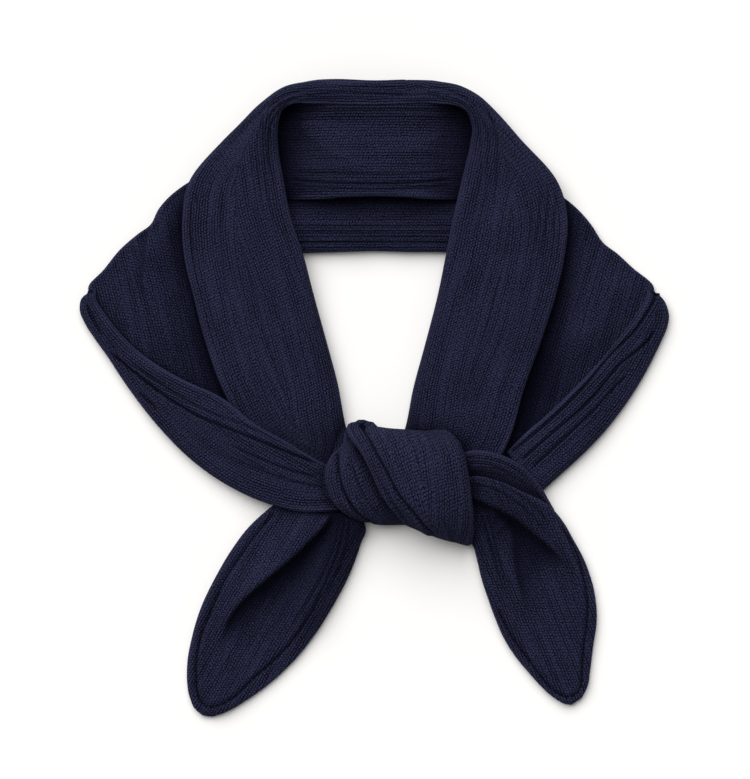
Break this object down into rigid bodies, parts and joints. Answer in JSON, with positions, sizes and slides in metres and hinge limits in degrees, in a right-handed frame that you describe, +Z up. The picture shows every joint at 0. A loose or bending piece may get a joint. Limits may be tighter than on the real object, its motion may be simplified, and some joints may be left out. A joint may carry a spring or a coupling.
{
  "type": "triangle scarf",
  "caption": "Knitted triangle neck scarf lying flat, folded into a collar with ribbed edges and its two ends tied in a knot.",
  "frame": {"origin": "on the surface the scarf lies on, under the middle of its bounding box", "axes": "+Z up off the surface, +Y from the knot to the back of the neck, +X to the right seen from above"},
  "size_m": [0.3202, 0.345, 0.0367],
  "materials": {
    "navy_knit": "matte plush knit"
  },
  "bodies": {
    "root": {"back_layer": "navy_knit", "back_neck_inner": "navy_knit", "front_band_left": "navy_knit", "front_band_right": "navy_knit", "hem_band_left": "navy_knit", "hem_band_right": "navy_knit", "hidden_back": "navy_knit", "hidden_left": "navy_knit", "hidden_right": "navy_knit", "knot_core": "navy_knit", "knot_turn": "navy_knit", "knot_wrap": "navy_knit", "neck_roll": "navy_knit", "tail_left": "navy_knit", "tail_right": "navy_knit", "tail_right_lobe": "navy_knit", "wing_left": "navy_knit", "wing_right": "navy_knit"}
  },
  "joints": []
}
